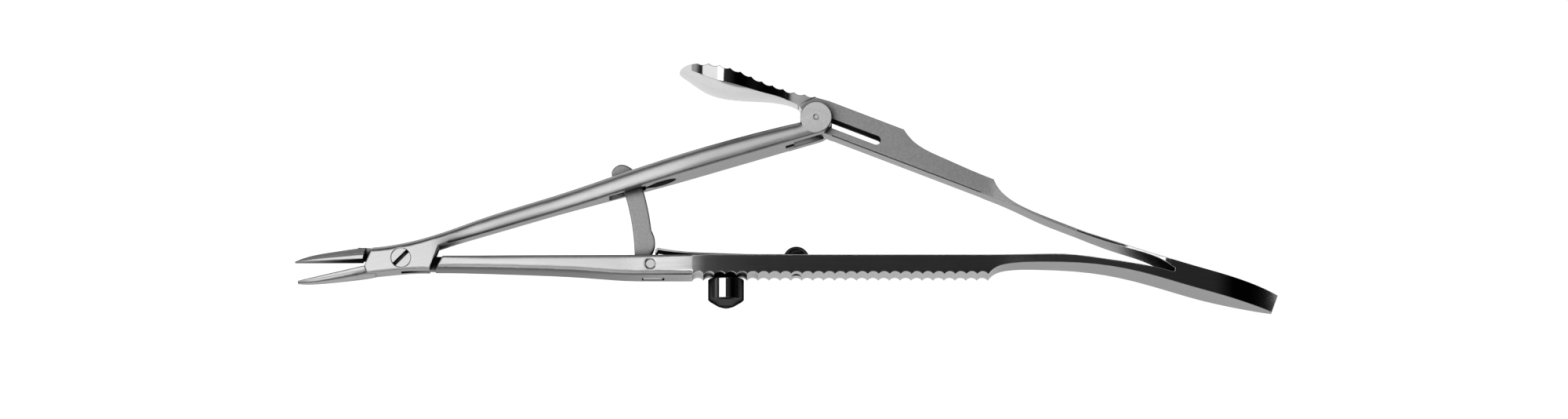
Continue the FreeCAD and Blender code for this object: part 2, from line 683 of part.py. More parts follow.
def lever_outline():
    """The side view of the slotted plate, the neck behind it and the front of the leaf."""
    half = LEAF_THICK / 2
    round_low = on_lever(0, -PLATE_BELOW_PIN)
    round_left = on_lever(-PLATE_BELOW_PIN, 0)
    round_middle = on_lever(-PLATE_BELOW_PIN * 0.7071, -PLATE_BELOW_PIN * 0.7071)
    under_spoon = on_spoon(SPOON_UNDER[-1][0], SPOON_UNDER[-1][1] + SPOON_ROOT_STEP)
    spoon_end = on_spoon(SPOON_PITCH * SPOON_TEETH, 0)
    plate_top = on_lever(PLATE_CORNER, PLATE_ABOVE_PIN)
    plate_end = on_lever(PLATE_LONG, PLATE_ABOVE_PIN)
    neck_end = on_lever(NECK_LONG, NECK_RISE)
    leaf_start = on_lever(LEAF_UNDER_FROM, -PLATE_BELOW_PIN)
    leaf_high = on_leaf(0, half)
    leaf_low = on_leaf(0, -half)
    fall = point(LEAF_COS, -LEAF_SIN)
    level = point(LEVER_COS, -LEVER_SIN)
    neck = [plate_end] + [on_lever(along, above) for along, above in NECK_CURVE] + [neck_end]
    leaf_top = [neck_end] + [on_lever(along, above) for along, above in LEAF_TOP]
    leaf_top += [on_leaf(-LEAF_BEND_LONG, half), leaf_high]
    leaf_under = [leaf_start, on_leaf(-LEAF_BEND_LONG, -half), leaf_low]
    return [arc(round_left, round_middle, round_low), line(round_low, leaf_start),
            curve(leaf_under, level, fall), arc(leaf_low, on_leaf(half, 0), leaf_high),
            curve(leaf_top, None, fall), curve(neck, None, level), line(plate_top, plate_end),
            line(spoon_end, plate_top), line(spoon_end, under_spoon), line(under_spoon, round_left)]


def spoon():
    """Dished thumb rest with a serrated top: its side view turned about a line above it."""
    tip_along = (SPOON_TIP_X - SPOON_START_X) / SPOON_COS
    last = SPOON_PITCH * SPOON_TEETH
    top_start = on_spoon(tip_along, SPOON_TIP_THICK / 2)
    top_end = on_spoon(last, 0)
    under = [on_spoon(tip_along, -SPOON_TIP_THICK / 2)] + [on_spoon(along, y) for along, y in SPOON_UNDER]
    edges = [line(top_start, on_spoon(0, 0)), line(top_end, under[-1]), line(under[0], top_start)]
    edges += [curve(under)] + scallops(top_end, on_spoon(0, 0), SPOON_TEETH, SPOON_TOOTH_DEEP)
    face = Part.Face(Part.Wire(Part.__sortEdges__(edges)))
    axis_at = on_spoon(0, SPOON_DISH_R)
    axis = point(SPOON_COS, -SPOON_SIN)
    reach = math.degrees(math.asin(SPOON_TURN_SHARE * SPOON_WIDE / SPOON_DISH_R))
    face.rotate(axis_at, axis, -reach)
    dished = face.revolve(axis_at, axis, 2 * reach)
    plate = PLATE_THICK / 2
    front = [point(SPOON_TIP_X, -WIDE, 0)] + [point(x, -WIDE, wide) for x, wide in SPOON_PLAN]
    front.append(point(KNUCKLE.x - SPOON_EDGE_BACK, -WIDE, plate))
    back = [point(p.x, p.y, -p.z) for p in front]
    far = KNUCKLE.x + KNUCKLE_R
    end = [point(far, -WIDE, plate), point(far, -WIDE, -plate)]
    sides = [curve(front, point(0, 0, 1), ALONG), curve(back, point(0, 0, -1), ALONG)]
    sides += [line(front[-1], end[0]), line(end[0], end[1]), line(end[1], back[-1])]
    outline = Part.Face(Part.Wire(Part.__sortEdges__(sides)))
    return dished.common(outline.extrude(point(0, 2 * WIDE, 0)))


def lever_slot():
    """The slot that the pin of the knuckle slides in."""
    half = LEVER_SLOT_WIDE / 2
    low = LEVER_SLOT_RAISE - half
    high = LEVER_SLOT_RAISE + half
    corners = [on_lever(0, low), on_lever(LEVER_SLOT_LONG, low), on_lever(LEVER_SLOT_LONG, high),
               on_lever(0, high)]
    ends = [post(half, -PLATE_THICK, PLATE_THICK, on_lever(along, LEVER_SLOT_RAISE))
            for along in (0, LEVER_SLOT_LONG)]
    return block(corners, PLATE_THICK).fuse(ends)


def thumb_lever():
    body = slab(lever_outline(), WIDE / 2).common(leaf_plan(SHANK_TOP_X))
    start = KNUCKLE.x + KNUCKLE_R
    straight_end = min(LEAF_WIDE_FROM, on_lever(LEAF_UNDER_FROM, -PLATE_BELOW_PIN).x)
    run = Part.makeBox(straight_end - PLATE_BEVEL_SHORT - start, WIDE, WIDE, point(start, 0, -WIDE / 2))
    plate = body.common(run)
    under = []
    for edge in plate.Edges:
        place = middle_of(edge)
        above = (place.x - KNUCKLE.x) * LEVER_SIN + (place.y - KNUCKLE.y) * LEVER_COS
        if abs(place.z) > 1 and abs(above + PLATE_BELOW_PIN) < 0.05:
            under.append(edge)
    return body.cut(run).fuse([plate.makeChamfer(PLATE_BEVEL, under), spoon()]).cut(lever_slot())


# Catch tongue

def catch_tongue():
    """Flat bar curved about the joint axis, with a heel behind it and a leaning foot."""
    foot_low = SHANK_LOW + TONGUE_FOOT_GAP
    foot = [point(TONGUE_OUTER_R + x, foot_low) for x in TONGUE_FOOT]
    foot_left = [about_joint(TONGUE_INNER_R, TONGUE_FOOT_Y), foot[0]]
    foot_right = [foot[1], point(TONGUE_OUTER_R + TONGUE_HEEL_FOOT[0], TONGUE_HEEL_FOOT[1])]
    heel = point(TONGUE_OUTER_R + HEEL_BULGE, HEEL_Y)
    join = about_joint(TONGUE_OUTER_R, HEEL_END_Y)
    right_top = about_joint(TONGUE_OUTER_R, TONGUE_TOP_Y[0])
    left_top = about_joint(TONGUE_INNER_R, TONGUE_TOP_Y[1])
    head = [right_top] + [point(TONGUE_OUTER_R + x, y) for x, y in TONGUE_HEAD] + [left_top]
    edges = [arc(left_top, about_joint(TONGUE_INNER_R, TONGUE_TOP_Y[1] / 2), foot_left[0]),
             line(foot_left[0], foot_left[1]), line(foot_left[1], foot_right[0]),
             line(foot_right[0], foot_right[1]), curve([foot_right[1], heel, join]),
             arc(join, about_joint(TONGUE_OUTER_R, (HEEL_END_Y + TONGUE_TOP_Y[0]) / 2), right_top),
             curve(head)]
    hole = post(TONGUE_PIN_D / 2 + RUNNING_CLEAR, -WIDE, WIDE, point(TONGUE_PIN_X, TONGUE_PIN_Y))
    return slab(edges, HALF_TONGUE).cut(hole)


# Release spring, its screw and the button

def release_spring():
    """Leaf spring on top of the handle, with its tip bent down behind the heel of the tongue."""
    low = HANDLE_TOP
    high = HANDLE_TOP + SPRING_THICK
    tip_x = TONGUE_OUTER_R + HEEL_BULGE + SPRING_TIP_GAP
    tip_low = HANDLE_TOP + SPRING_TIP_RISE - SPRING_TIP_DROP
    tip_high = HANDLE_TOP + SPRING_TIP_RISE
    run = SPRING_FLAT_X - tip_x
    rise = SPRING_TIP_RISE - SPRING_THICK
    top = [point(SPRING_FLAT_X, high)]
    top += [point(SPRING_FLAT_X - along * run, high + up * rise) for along, up in SPRING_BEND]
    corner_x, corner_y = SPRING_TIP_CORNER
    inner_x, inner_y = SPRING_TIP_INNER
    top.append(point(tip_x + corner_x, tip_high))
    under = [point(p.x, p.y - SPRING_THICK) for p in top[:3]]
    under.append(point(tip_x + SPRING_THICK + inner_x, tip_high - SPRING_THICK - inner_y))
    edges = [line(point(SPRING_END_X, high), top[0]), curve(top, ALONG * -1, None),
             line(top[-1], point(tip_x, tip_high - corner_y)),
             line(point(tip_x, tip_high - corner_y), point(tip_x, tip_low)),
             line(point(tip_x, tip_low), point(tip_x + SPRING_THICK, tip_low)),
             line(point(tip_x + SPRING_THICK, tip_low), under[-1]), curve(under, ALONG * -1, None),
             line(under[0], point(SPRING_END_X, low)),
             line(point(SPRING_END_X, low), point(SPRING_END_X, high))]
    leaf = slab(edges, SPRING_WIDE / 2)
    holes = [upright(SPRING_SCREW_D / 2 + SPRING_HOLE_CLEAR, 0, PAST, SPRING_SCREW_X),
             upright(STUB_D / 2 + STUB_CLEAR, 0, PAST, BUTTON_X)]
    return leaf.cut(holes)


def turned(points, x):
    """A body of revolution about a line along Y at x, from (radius, y) corners on the axis."""
    corners = [point(x + radius, y) for radius, y in points]
    face = Part.Face(Part.Wire(chain(corners + corners[:1])))
    return face.revolve(point(x, 0), point(0, 1), 360)


def spring_screw():
    """Dome-headed screw that holds the leaf spring down."""
    seat = HANDLE_TOP + SPRING_THICK + STUB_CLEAR
    radius = DOME_D / 2
    ball = (radius * radius + DOME_TALL * DOME_TALL) / (2 * DOME_TALL)
    dome = Part.makeSphere(ball, point(SPRING_SCREW_X, seat + DOME_TALL - ball, 0))
    head = dome.common(upright(radius, seat, seat + DOME_TALL, SPRING_SCREW_X))
    end = seat + SCREW_INTO_DOME
    return head.fuse(upright(SPRING_SCREW_D / 2, HANDLE_TOP - SPRING_SCREW_LONG, end, SPRING_SCREW_X))


def release_button():
    """Turned button under the handle, its stem through the handle and its stub in the leaf."""
    top = TOOTH_TIP - BUTTON_GAP
    low = top - BUTTON_LONG
    radius = BUTTON_D / 2
    leaf_under = HANDLE_TOP + SPRING_LIFT_AT_BUTTON
    corners = [(0, leaf_under + SPRING_THICK), (STUB_D / 2, leaf_under + SPRING_THICK),
               (STUB_D / 2, leaf_under - STEM_SHORT), (STEM_D / 2, leaf_under - STEM_SHORT),
               (STEM_D / 2, top), (radius - BUTTON_EDGE / 2, top), (radius, top - BUTTON_EDGE / 2),
               (radius, low), (radius - BUTTON_EDGE, low - BUTTON_EDGE)]
    corners += [(out * radius, low - down * BUTTON_DOME) for out, down in BUTTON_FACE]
    corners.append((0, low - BUTTON_DOME))
    return turned(corners, BUTTON_X)


PIECES = {
    "handle_arm": handle_arm,
    "tongue_pin": tongue_pin,
    "spring_screw": spring_screw,
    "jaw_arm": jaw_arm,
    "joint_screw": joint_screw,
    "lever_pin": lever_pin,
    "catch_blade": catch_blade,
    "blade_pin": blade_pin,
    "thumb_lever": thumb_lever,
    "catch_tongue": catch_tongue,
    "release_spring": release_spring,
    "release_button": release_button,
}


def build():
    os.makedirs("parts", exist_ok=True)
    for name, make in PIECES.items():
        solid = make().Solids[0]
        solid.translate(point(0, 0, HALF_BOX))
        solid.exportStep("parts/" + name + ".step")


build()
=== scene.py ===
"""Looks of a sprung surgical needle holder: satin and polished steel, the bending leaf between
the thumb lever and the handle, a pale table, soft studio light and the camera above it."""

import json
import math

import bmesh
import bpy
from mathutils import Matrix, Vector


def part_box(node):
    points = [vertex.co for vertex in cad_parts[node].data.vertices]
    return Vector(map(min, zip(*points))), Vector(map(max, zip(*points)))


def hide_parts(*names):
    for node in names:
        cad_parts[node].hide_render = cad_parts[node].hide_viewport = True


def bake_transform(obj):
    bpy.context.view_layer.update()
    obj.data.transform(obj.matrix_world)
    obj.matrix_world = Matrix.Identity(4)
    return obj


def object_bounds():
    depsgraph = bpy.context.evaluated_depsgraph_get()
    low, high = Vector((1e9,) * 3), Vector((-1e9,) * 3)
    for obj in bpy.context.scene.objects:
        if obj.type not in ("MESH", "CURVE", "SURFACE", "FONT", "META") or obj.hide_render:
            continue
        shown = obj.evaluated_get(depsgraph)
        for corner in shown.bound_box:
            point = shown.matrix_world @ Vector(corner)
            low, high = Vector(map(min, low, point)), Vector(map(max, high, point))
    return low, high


bl_info = {
    "name": "Sprung needle holder looks",
    "version": (1, 0, 0),
    "blender": (4, 5, 0),
    "location": "View3D > Sidebar > Needle holder",
    "description": "Steel finishes, the bending leaf and the studio of a sprung needle holder",
    "category": "Object",
}

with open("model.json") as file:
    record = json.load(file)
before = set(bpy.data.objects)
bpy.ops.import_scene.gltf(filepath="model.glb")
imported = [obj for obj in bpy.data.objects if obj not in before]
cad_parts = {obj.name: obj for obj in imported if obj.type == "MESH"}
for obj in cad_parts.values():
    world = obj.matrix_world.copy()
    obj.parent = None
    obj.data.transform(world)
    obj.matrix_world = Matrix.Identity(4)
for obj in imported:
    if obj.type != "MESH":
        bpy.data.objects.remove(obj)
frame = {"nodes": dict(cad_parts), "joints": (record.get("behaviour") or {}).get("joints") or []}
CAD_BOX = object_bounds()
NODES = frame["nodes"]
JOINTS = {joint["name"]: joint for joint in frame["joints"]}
MIDDLE_Z = JOINTS["jaw_hinge"]["pos_m"][2]
LEAF_BEND = Vector(JOINTS["lever_flex"]["pos_m"])
MM = 0.001

# The photograph's frame: its width and a millimetre of the instrument in pixels, its centre in metres
PHOTO_WIDTH = 2000
PHOTO_MILLIMETRE = 9.24
PHOTO_CENTRE = (0.0528, 0.00709)

# Places along the instrument, in metres beyond the joint screw
NECK = (0.004, 0.012)
UPPER_NECK = (0.004, 0.014)
SATIN_END = 0.030
POLISH_START = 0.042
SERRATIONS = (0.0405, 0.080)
TAIL = (0.083, 0.121)
SPOON_SHINE_END = 0.050
PLATE_START = 0.057

# Turns and sizes on the instrument
SHANK_RISE = math.radians(16.44)
LEAF_FALL = math.radians(21.5)
KNUCKLE_RADIUS = 0.0022
FORK_SLOT_LENGTH = 0.0042
FORK_SLOT_HALF = 0.00098
# Near-black painted shade on the floor of the fork's slot
PAINTED_SLOT_SHADE = 0.004
MERGE_REACH = 1e-6
SPOON_CREASE = math.radians(28)

# Radii that the steel's broken edges are shaded with, and how near the Z axis a flat's normal lies
NECK_EDGE = 0.25 * MM
LOWER_EDGE = 0.8 * MM
UPPER_EDGE = 1.2 * MM
TONGUE_EDGE = 0.4 * MM
PIN_EDGE = 0.05 * MM
# Faces outside these ranges take a side colour, painted shade where it is darker than the steel
FLATS = (0.75, 0.92)
UPPER_FLATS = (0.7, 0.9)
SPOON_FLATS = (0.1, 0.3)

# Grain of the steel, with scales in waves per metre
STREAK_STRETCH = (0.03, 1.0, 1.0)
STREAK_SCALE = 4000.0
SPECK_SCALE = 3000.0
CLOUD_SCALE = 350.0
RING_SCALE = 1500.0
RING_STRENGTH = 4.0
RING_UNROLL = 0.0002
STROKE_OFFSET = (-0.0005, -0.0012, 0.0)
GRAIN_DEPTH = 0.01 * MM
GRAIN_STRENGTH = 0.3
# Painted shade in recesses and gaps: the occlusion's reach, the range over which it darkens, and the
# darkest share of the colour
PAINTED_SHADE_REACH = 0.0026
PAINTED_SHADE_OPEN = (0.42, 0.85)
PAINTED_SHADE_DARKEST = 0.02

# The studio
TABLE_HALF = 3.0
TABLE_MIDDLE = 0.05
TABLE_GAP = 0.02 * MM
CARD_HEIGHT = 0.25
FRONT_CARD_HEIGHT = 0.13
FRONT_CARD_TILT = math.radians(57)
WINDOW_TILT = math.radians(40)
WINDOW_EDGES = (math.radians(30), math.radians(12))


def steel_colour(name, text, colour):
    return bpy.props.FloatVectorProperty(name=name, description=text, subtype="COLOR", size=3,
                                         min=0.0, max=1.0, default=colour)


class SteelSettings(bpy.types.PropertyGroup):
    """Colours and finishes of the steel; the side colour is painted shade, and the dark colour is painted
    shade on the blade and the button's sides.
    """
    satin: steel_colour("Satin steel", "Colour of the brushed arms", (0.58, 0.58, 0.585))
    # Darker than the steel: painted shade on the faces that turn away from the flats
    side: steel_colour("Blasted sides", "Colour of the narrow sides of the arms", (0.34, 0.34, 0.345))
    pale: steel_colour("Pale sides", "Colour of the spoon's underside and the serrations",
                       (0.57, 0.57, 0.575))
    blasted: steel_colour("Blasted steel", "Colour of the matt lever and tongue", (0.6, 0.6, 0.605))
    bright: steel_colour("Bright steel", "Colour of the polished button and screw", (0.6, 0.6, 0.605))
    # Near black, far darker than steel: painted shade on the blade in its shadowed slot and on the button's
    # sides; the domed screw is given it too
    dark: steel_colour("Dark steel", "Colour of the blade and of the dark domes", (0.05, 0.05, 0.051))
    satin_rough: bpy.props.FloatProperty(name="Satin roughness", min=0.0, max=1.0, default=0.3,
                                         description="Roughness of the brushed arms")
    blasted_rough: bpy.props.FloatProperty(name="Blasted roughness", min=0.0, max=1.0, default=0.5,
                                           description="Roughness of the matt lever and tongue")
    bright_rough: bpy.props.FloatProperty(name="Bright roughness", min=0.0, max=1.0, default=0.07,
                                          description="Roughness of the polished pieces")
    edge: bpy.props.FloatProperty(name="Edge rounding", description="Radius of the broken edges",
                                  subtype="DISTANCE", min=0.0, default=0.12 * MM)


class LeafSettings(bpy.types.PropertyGroup):
    """The bending leaf between lever and handle."""
    bend_length: bpy.props.FloatProperty(name="Bend length", subtype="DISTANCE", min=0.001,
                                         default=10.5 * MM,
                                         description="Length of leaf that bends in front of its root")
    overlap: bpy.props.FloatProperty(name="Root overlap", subtype="DISTANCE", min=0.0, default=0.25 * MM,
                                     description="How far the lever's leaf runs into its root")
    slices: bpy.props.IntProperty(name="Bend slices", description="Cuts along the bending leaf", min=4,
                                  default=24)


class StageSettings(bpy.types.PropertyGroup):
    """Table, lights and camera."""
    table: steel_colour("Table", "Colour of the table", (0.86, 0.86, 0.86))
    glow: bpy.props.FloatProperty(name="Table glow", min=0.0, max=1.0, default=0.88,
                                  description="Light that the camera and the steel see in the table")
    elevation: bpy.props.FloatProperty(name="Camera elevation", subtype="ANGLE", default=math.radians(80),
                                       description="Angle of the camera above the table")
    distance: bpy.props.FloatProperty(name="Camera distance", subtype="DISTANCE", min=0.3, default=2.0,
                                      description="Distance from the camera to the instrument")


# Shader helpers

def new_material(name):
    material = bpy.data.materials.new(name)
    material.use_nodes = True
    material.node_tree.nodes.clear()
    return material, material.node_tree


def add(tree, kind, **values):
    node = tree.nodes.new(kind)
    for key, value in values.items():
        setattr(node, key, value)
    return node


def joined(tree, kind, operation, first, second, third=None):
    """A math node fed by sockets or plain values; returns its output."""
    node = add(tree, kind, operation=operation)
    for place, value in enumerate((first, second, third)):
        if isinstance(value, bpy.types.NodeSocket):
            tree.links.new(value, node.inputs[place])
        elif value is not None:
            node.inputs[place].default_value = value
    return node.outputs[0]


def maths(tree, operation, first, second=None, third=None):
    return joined(tree, "ShaderNodeMath", operation, first, second, third)


def vectors(tree, operation, first, second=None):
    return joined(tree, "ShaderNodeVectorMath", operation, first, second)


def noise(tree, vector, scale, detail):
    """Noise about zero."""
    node = add(tree, "ShaderNodeTexNoise")
    node.inputs["Scale"].default_value = scale
    node.inputs["Detail"].default_value = detail
    tree.links.new(vector, node.inputs["Vector"])
    return maths(tree, "SUBTRACT", node.outputs["Fac"], 0.5)


def ramp(tree, value, start, end, low, high):
    """A soft step from low to high while the value goes from start to end."""
    node = add(tree, "ShaderNodeMapRange", interpolation_type="SMOOTHSTEP")
    for name, number in (("From Min", start), ("From Max", end), ("To Min", low), ("To Max", high)):
        node.inputs[name].default_value = number
    tree.links.new(value, node.inputs["Value"])
    return node.outputs[0]


def steel_group():
    """Brushed streaks, fine speckle, faint clouds, painted shade that darkens recesses and gaps, which are
    also made duller, and rounded edges for all steel.
    """
    group = bpy.data.node_groups.new("steel_surface", "ShaderNodeTree")
    for name, kind, default in (("Colour", "NodeSocketColor", (0.6, 0.6, 0.6, 1)),
                                ("Roughness", "NodeSocketFloat", 0.3), ("Brush", "NodeSocketFloat", 0.2),
                                ("Turn", "NodeSocketFloat", 0.0), ("Speckle", "NodeSocketFloat", 0.1),
                                ("Clouds", "NodeSocketFloat", 0.1), ("Edge", "NodeSocketFloat", 0.0001),
                                ("Ring Centre", "NodeSocketVector", (0, 0, 0)),
                                ("Ring Radius", "NodeSocketFloat", 0.0)):
        socket = group.interface.new_socket(name, in_out="INPUT", socket_type=kind)
        socket.default_value = default
    for name, kind in (("Colour", "NodeSocketColor"), ("Roughness", "NodeSocketFloat"),
                       ("Normal", "NodeSocketVector")):
        group.interface.new_socket(name, in_out="OUTPUT", socket_type=kind)
    source = add(group, "NodeGroupInput").outputs
    result = add(group, "NodeGroupOutput").inputs
    place = add(group, "ShaderNodeTexCoord").outputs["Object"]
    turned = add(group, "ShaderNodeVectorRotate", rotation_type="Z_AXIS")
    group.links.new(place, turned.inputs["Vector"])
    group.links.new(source["Turn"], turned.inputs["Angle"])
    drawn = vectors(group, "MULTIPLY", turned.outputs[0], STREAK_STRETCH)
    straight = noise(group, drawn, STREAK_SCALE, 3.0)
    ringed, inside = ring_strokes(group, place, source["Ring Centre"], source["Ring Radius"])
    outside = maths(group, "SUBTRACT", 1.0, inside)
    strokes = maths(group, "ADD", maths(group, "MULTIPLY", straight, outside),
                    maths(group, "MULTIPLY", ringed, inside))
    streak = maths(group, "MULTIPLY", strokes, source["Brush"])
    speck = maths(group, "MULTIPLY", noise(group, place, SPECK_SCALE, 3.0), source["Speckle"])
    cloud = maths(group, "MULTIPLY", noise(group, place, CLOUD_SCALE, 4.0), source["Clouds"])
    fine = maths(group, "ADD", streak, speck)
    tone = maths(group, "ADD", maths(group, "ADD", fine, cloud), 1.0)
    # Painted shade: ambient occlusion darkens the colour in recesses and gaps
    shade = add(group, "ShaderNodeAmbientOcclusion", samples=8)
    shade.inputs["Distance"].default_value = PAINTED_SHADE_REACH
    painted_recess_shade = ramp(group, shade.outputs["AO"], *PAINTED_SHADE_OPEN, PAINTED_SHADE_DARKEST, 1.0)
    tint = add(group, "ShaderNodeVectorMath", operation="SCALE")
    group.links.new(source["Colour"], tint.inputs[0])
    group.links.new(maths(group, "MULTIPLY", tone, painted_recess_shade), tint.inputs["Scale"])
    group.links.new(tint.outputs[0], result["Colour"])
    change = maths(group, "ADD", streak, cloud)
    rough = maths(group, "MULTIPLY_ADD", change, source["Roughness"], source["Roughness"])
    dull = maths(group, "MAXIMUM", rough, maths(group, "SUBTRACT", 1.0, painted_recess_shade))
    group.links.new(dull, result["Roughness"])
    rounded = add(group, "ShaderNodeBevel", samples=8)
    spared = maths(group, "MULTIPLY_ADD", inside, -0.8, 1.0)
    group.links.new(maths(group, "MULTIPLY", source["Edge"], spared), rounded.inputs["Radius"])
    bump = add(group, "ShaderNodeBump")
    bump.inputs["Distance"].default_value = GRAIN_DEPTH
    bump.inputs["Strength"].default_value = GRAIN_STRENGTH
    group.links.new(fine, bump.inputs["Height"])
    group.links.new(rounded.outputs["Normal"], bump.inputs["Normal"])
    group.links.new(bump.outputs["Normal"], result["Normal"])
    return group


def ring_strokes(tree, place, centre, radius):
    """Strokes drawn in rings about a place near the centre, and a mask of the disc that they fill."""
    across = vectors(tree, "SUBTRACT", place, centre)
    inside = maths(tree, "LESS_THAN", flat_distance(tree, across)[0], radius)
    out, x, y = flat_distance(tree, vectors(tree, "SUBTRACT", across, STROKE_OFFSET))
    around = maths(tree, "MULTIPLY", maths(tree, "ARCTAN2", y, x), RING_UNROLL)
    unrolled = add(tree, "ShaderNodeCombineXYZ")
    tree.links.new(out, unrolled.inputs["X"])
    tree.links.new(around, unrolled.inputs["Y"])
    return maths(tree, "MULTIPLY", noise(tree, unrolled.outputs[0], RING_SCALE, 3.0), RING_STRENGTH), inside


def flat_distance(tree, vector):
    """The length of a vector seen along Z, with its X and Y."""
    apart = add(tree, "ShaderNodeSeparateXYZ")
    tree.links.new(vector, apart.inputs[0])
    x, y = apart.outputs["X"], apart.outputs["Y"]
    square = maths(tree, "ADD", maths(tree, "MULTIPLY", x, x), maths(tree, "MULTIPLY", y, y))
    return maths(tree, "SQRT", square), x, y


def object_place(tree):
    """The X, Y and Z of the shaded point in the object's coordinates."""
    place = add(tree, "ShaderNodeTexCoord")
    apart = add(tree, "ShaderNodeSeparateXYZ")
    tree.links.new(place.outputs["Object"], apart.inputs[0])
    return apart.outputs


def changing(tree, stations):
    """A plain value or colour, or for a list of (x, value) stations a grey that changes along X."""
    if not isinstance(stations, list):
        return stations
    start, end = stations[0][0], stations[-1][0]
    share = add(tree, "ShaderNodeMapRange")
    share.inputs["From Min"].default_value = start
    share.inputs["From Max"].default_value = end
    tree.links.new(object_place(tree)["X"], share.inputs["Value"])
    scale = add(tree, "ShaderNodeValToRGB")
    marks = scale.color_ramp.elements
    while len(marks) < len(stations):
        marks.new(0.5)
    for mark, (x, tone) in zip(marks, stations):
        mark.position = (x - start) / (end - start)
        mark.color = (tone, tone, tone, 1)
    tree.links.new(share.outputs[0], scale.inputs["Fac"])
    return scale.outputs["Color"]


def feed(tree, value, socket):
    """Link a socket to another, or give it a plain value."""
    if isinstance(value, bpy.types.NodeSocket):
        tree.links.new(value, socket)
    else:
        socket.default_value = value


def facing(tree, axis, start, end):
    """A mask that rises from nought to one as the surface turns to face along an axis."""
    direction = add(tree, "ShaderNodeTexCoord")
    parts = add(tree, "ShaderNodeSeparateXYZ")
    tree.links.new(direction.outputs["Normal"], parts.inputs[0])
    return ramp(tree, maths(tree, "ABSOLUTE", parts.outputs[axis]), start, end, 0.0, 1.0)


def blended(tree, kind, mask, first, second):
    """A mix by a mask of two plain values, colours or sockets, of the kind RGBA or VALUE."""
    mix = add(tree, "ShaderNodeMix", data_type="RGBA" if kind == "RGBA" else "FLOAT")
    sockets = [socket for socket in mix.inputs if socket.type == kind]
    tree.links.new(mask, mix.inputs["Factor"])
    feed(tree, first, sockets[-2])
    feed(tree, second, sockets[-1])
    return [socket for socket in mix.outputs if socket.type == kind][0]


def painted_slot_mask(tree, start, half_height):
    """A mask of nought in a slot about mid-height beyond a place along X, and one elsewhere; the slot is
    painted near black with it as painted shade.
    """
    place = object_place(tree)
    height = maths(tree, "ABSOLUTE", maths(tree, "SUBTRACT", place["Z"], MIDDLE_Z))
    return maths(tree, "MAXIMUM", maths(tree, "LESS_THAN", place["X"], start),
                 maths(tree, "GREATER_THAN", height, half_height))


def steel(name, colour, roughness, edge, brush=0.0, turn=0.0, speckle=0.05, clouds=0.12, side=None,
          ring=None, grazing=0.55, slot=None):
    """One finish of steel. A list of (x, value) stations for the roughness, the edge, the side colour or
    its roughness makes it change along the instrument. Side gives the range of the normal's share
    along Z over which the flats begin, and the colour, painted shade where darker than the steel, and
    roughness of what faces elsewhere. Ring gives the centre and radius of a disc with round strokes.
    Grazing is the brightness at a low angle. Slot gives the start and half height of a slot painted
    near black as painted shade."""
    material, tree = new_material(name)
    surface = add(tree, "ShaderNodeGroup")
    surface.node_tree = bpy.data.node_groups.get("steel_surface") or steel_group()
    for socket, value in (("Brush", brush), ("Turn", turn), ("Speckle", speckle), ("Clouds", clouds)):
        surface.inputs[socket].default_value = value
    if ring:
        surface.inputs["Ring Centre"].default_value = ring[0]
        surface.inputs["Ring Radius"].default_value = ring[1]
    feed(tree, changing(tree, edge), surface.inputs["Edge"])
    tone = (*colour, 1)
    rough = changing(tree, roughness)
    # Faces turning away from the flats take the side colour and roughness; where that colour is darker than
    # the steel it is painted shade
    if side:
        limits, side_colour_and_shade, side_rough = side
        flat = facing(tree, "Z", *limits)
        across = changing(tree, side_colour_and_shade) if isinstance(side_colour_and_shade, list) else (*side_colour_and_shade, 1)
        tone = blended(tree, "RGBA", flat, across, tone)
        rough = blended(tree, "VALUE", flat, changing(tree, side_rough), rough)
    # Painted shade: the slot is painted near black and made fully rough
    if slot:
        outside = painted_slot_mask(tree, *slot)
        tone = blended(tree, "RGBA", outside, (PAINTED_SLOT_SHADE, PAINTED_SLOT_SHADE, PAINTED_SLOT_SHADE, 1), tone)
        rough = blended(tree, "VALUE", outside, 1.0, rough)
    feed(tree, tone, surface.inputs["Colour"])
    feed(tree, rough, surface.inputs["Roughness"])
    shader = add(tree, "ShaderNodeBsdfPrincipled")
    shader.inputs["Metallic"].default_value = 1.0
    shader.inputs["Specular Tint"].default_value = (grazing, grazing, grazing, 1)
    output = add(tree, "ShaderNodeOutputMaterial")
    tree.links.new(surface.outputs["Colour"], shader.inputs["Base Color"])
    tree.links.new(surface.outputs["Roughness"], shader.inputs["Roughness"])
    tree.links.new(surface.outputs["Normal"], shader.inputs["Normal"])
    tree.links.new(shader.outputs[0], output.inputs["Surface"])
    return material


def dress(piece, material):
    """Give a piece one material."""
    piece.data.materials.clear()
    piece.data.materials.append(material)


# The object's pieces

